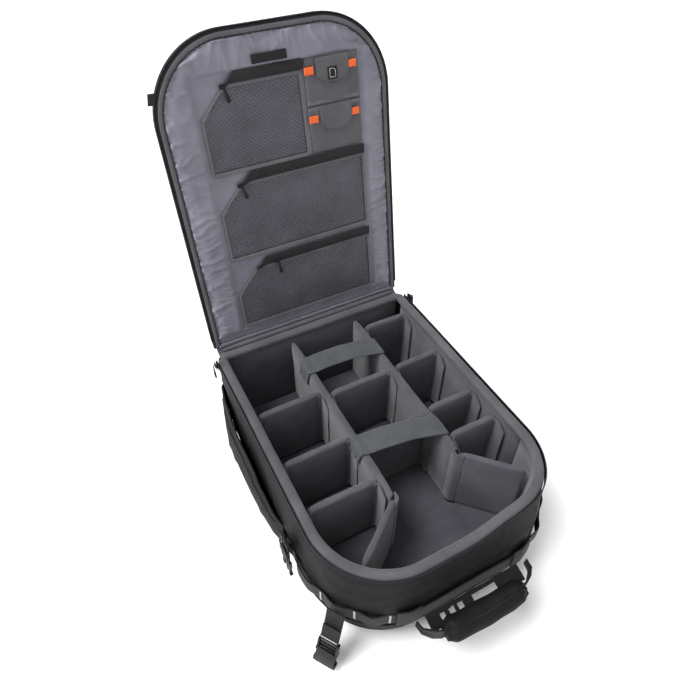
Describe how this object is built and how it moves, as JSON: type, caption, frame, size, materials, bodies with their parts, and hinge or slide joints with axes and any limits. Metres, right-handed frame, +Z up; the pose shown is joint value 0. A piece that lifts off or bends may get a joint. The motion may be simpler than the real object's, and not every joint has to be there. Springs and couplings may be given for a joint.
{
  "type": "camera bag",
  "caption": "Padded camera backpack lying on its front, its zipped back panel open as a lid over a compartment with movable padded dividers.",
  "frame": {"origin": "middle of the flat underside, where the front pocket rests on the floor", "axes": "+Z up out of the open compartment, +Y towards the lid's hinge, +X to the right seen from the grab handle"},
  "size_m": [0.4088, 0.6248, 0.6282],
  "materials": {
    "nylon": "matte",
    "foam_lining": "matte",
    "rim_fabric": "matte",
    "zip_tape": "matte",
    "slider_metal": "satin",
    "webbing": "matte",
    "grey_webbing": "matte",
    "satin_lining": "satin",
    "mesh_fabric": "matte",
    "pocket_cloth": "matte",
    "buckle_plastic": "satin"
  },
  "bodies": {
    "bag": {"gusset_shell": "nylon", "wall_pad_left": "foam_lining", "wall_pad_right": "foam_lining", "wall_pad_hinge_end": "foam_lining", "wall_pad_handle_end": "foam_lining", "base_pad": "foam_lining", "front_panel": "nylon", "front_pocket": "nylon", "rim_binding": "rim_fabric", "zip_chain_body": "zip_tape", "hinge_roll": "nylon", "side_pocket_left": "nylon", "side_pocket_right": "nylon", "daisy_chain": "webbing"},
    "lid": {"lid_panel": "nylon", "lid_lining": "satin_lining", "lid_binding": "nylon", "zip_chain_lid": "zip_tape", "mesh_pocket_upper": "mesh_fabric", "mesh_pocket_middle": "mesh_fabric", "mesh_pocket_lower": "mesh_fabric", "pocket_zip_upper": "pocket_cloth", "pocket_zip_middle": "pocket_cloth", "pocket_zip_lower": "pocket_cloth", "card_pocket_upper": "pocket_cloth", "card_pocket_lower": "pocket_cloth", "back_pad": "nylon", "shoulder_strap_left": "nylon", "shoulder_strap_right": "nylon"},
    "divider_frame": {"divider_left": "foam_lining", "divider_right": "foam_lining", "bridge_rear": "grey_webbing", "bridge_front": "grey_webbing", "cross_centre_2": "foam_lining"},
    "wing_left": {"divider_wing_left": "foam_lining"},
    "wing_right": {"divider_wing_right": "foam_lining"},
    "handle": {"handle_grip": "nylon", "handle_tail_left": "webbing", "handle_tail_right": "webbing"},
    "corner_strap": {"corner_strap": "webbing"},
    "corner_buckle": {"corner_buckle": "buckle_plastic"},
    "side_strap": {"side_strap": "webbing"},
    "side_buckle": {"side_buckle": "buckle_plastic"},
    "main_slider_left": {"main_slider_left": "slider_metal"},
    "main_pull_left": {"main_pull_left": "slider_metal"},
    "main_slider_right": {"main_slider_right": "slider_metal"},
    "main_pull_right": {"main_pull_right": "slider_metal"},
    "cross_left_1": {"cross_left_1": "foam_lining"},
    "cross_left_2": {"cross_left_2": "foam_lining"},
    "cross_left_3": {"cross_left_3": "foam_lining"},
    "cross_centre_1": {"cross_centre_1": "foam_lining"},
    "cross_right_1": {"cross_right_1": "foam_lining"},
    "cross_right_2": {"cross_right_2": "foam_lining"},
    "cross_right_3": {"cross_right_3": "foam_lining"},
    "cross_right_4": {"cross_right_4": "foam_lining"},
    "pocket_slider_upper": {"pocket_slider_upper": "slider_metal"},
    "pocket_slider_middle": {"pocket_slider_middle": "slider_metal"},
    "pocket_slider_lower": {"pocket_slider_lower": "slider_metal"},
    "card_flap_upper": {"card_flap_upper": "pocket_cloth"},
    "card_flap_lower": {"card_flap_lower": "pocket_cloth"}
  },
  "joints": [
    {"name": "lid_hinge", "type": "hinge", "parent": "bag", "child": "lid", "pos_m": [0, 0.23, 0.1822], "axis": [-1, 0, 0], "range_deg": [-100, 80]},
    {"name": "main_slider_left_run", "type": "slide", "parent": "bag", "child": "main_slider_left", "axis": [0, -1, 0], "range_m": [0, 0.3]},
    {"name": "main_pull_left_swing", "type": "hinge", "parent": "main_slider_left", "child": "main_pull_left", "pos_m": [-0.1818, 0.2, 0.187], "axis": [0, 1, 0], "range_deg": [0, 110]},
    {"name": "main_slider_right_run", "type": "slide", "parent": "bag", "child": "main_slider_right", "axis": [0, -1, 0], "range_m": [0, 0.3]},
    {"name": "main_pull_right_swing", "type": "hinge", "parent": "main_slider_right", "child": "main_pull_right", "pos_m": [0.1818, 0.2, 0.187], "axis": [0, -1, 0], "range_deg": [0, 110]},
    {"name": "handle_swing", "type": "hinge", "parent": "bag", "child": "handle", "pos_m": [0, -0.2405, 0.097], "axis": [-1, 0, 0], "range_deg": [-40, 40]},
    {"name": "corner_strap_swing", "type": "hinge", "parent": "bag", "child": "corner_strap", "pos_m": [-0.16926, -0.1907, 0.096], "axis": [-0.5736, 0.8191, 0], "range_deg": [0, 95]},
    {"name": "corner_buckle_swing", "type": "hinge", "parent": "corner_strap", "child": "corner_buckle", "pos_m": [-0.18423, -0.20119, 0.04839], "axis": [-0.5736, 0.8191, 0], "range_deg": [0, 45]},
    {"name": "side_strap_swing", "type": "hinge", "parent": "bag", "child": "side_strap", "pos_m": [-0.1925, -0.088, 0.134], "axis": [0, 1, 0], "range_deg": [0, 100]},
    {"name": "side_buckle_swing", "type": "hinge", "parent": "side_strap", "child": "side_buckle", "pos_m": [-0.1925, -0.088, 0.088], "axis": [0, 1, 0], "range_deg": [0, 45]},
    {"name": "divider_frame_lift", "type": "slide", "parent": "bag", "child": "divider_frame", "axis": [0, 0, 1], "range_m": [0, 0.15]},
    {"name": "wing_left_swing", "type": "hinge", "parent": "divider_frame", "child": "wing_left", "pos_m": [-0.045, -0.12, 0.1], "axis": [0, 0, 1], "range_deg": [0, 15]},
    {"name": "wing_right_swing", "type": "hinge", "parent": "divider_frame", "child": "wing_right", "pos_m": [0.072, -0.1, 0.1], "axis": [0, 0, -1], "range_deg": [0, 40]},
    {"name": "cross_left_1_lift", "type": "slide", "parent": "bag", "child": "cross_left_1", "axis": [0, 0, 1], "range_m": [0, 0.15]},
    {"name": "cross_left_2_lift", "type": "slide", "parent": "bag", "child": "cross_left_2", "axis": [0, 0, 1], "range_m": [0, 0.15]},
    {"name": "cross_left_3_lift", "type": "slide", "parent": "bag", "child": "cross_left_3", "axis": [0, 0, 1], "range_m": [0, 0.15]},
    {"name": "cross_centre_1_lift", "type": "slide", "parent": "bag", "child": "cross_centre_1", "axis": [0, 0, 1], "range_m": [0, 0.15]},
    {"name": "cross_right_1_lift", "type": "slide", "parent": "bag", "child": "cross_right_1", "axis": [0, 0, 1], "range_m": [0, 0.15]},
    {"name": "cross_right_2_lift", "type": "slide", "parent": "bag", "child": "cross_right_2", "axis": [0, 0, 1], "range_m": [0, 0.15]},
    {"name": "cross_right_3_lift", "type": "slide", "parent": "bag", "child": "cross_right_3", "axis": [0, 0, 1], "range_m": [0, 0.15]},
    {"name": "cross_right_4_lift", "type": "slide", "parent": "bag", "child": "cross_right_4", "axis": [0, 0, 1], "range_m": [0, 0.15]},
    {"name": "pocket_slider_upper_run", "type": "slide", "parent": "lid", "child": "pocket_slider_upper", "axis": [1, 0, 0], "range_m": [0, 0.082]},
    {"name": "pocket_slider_middle_run", "type": "slide", "parent": "lid", "child": "pocket_slider_middle", "axis": [1, 0, 0], "range_m": [0, 0.164]},
    {"name": "pocket_slider_lower_run", "type": "slide", "parent": "lid", "child": "pocket_slider_lower", "axis": [1, 0, 0], "range_m": [0, 0.168]},
    {"name": "card_flap_upper_lift", "type": "hinge", "parent": "lid", "child": "card_flap_upper", "pos_m": [0.0805, 0.30084, 0.57588], "axis": [-1, 0, 0], "range_deg": [0, 90]},
    {"name": "card_flap_lower_lift", "type": "hinge", "parent": "lid", "child": "card_flap_lower", "pos_m": [0.0805, 0.29033, 0.5163], "axis": [-1, 0, 0], "range_deg": [0, 90]}
  ]
}
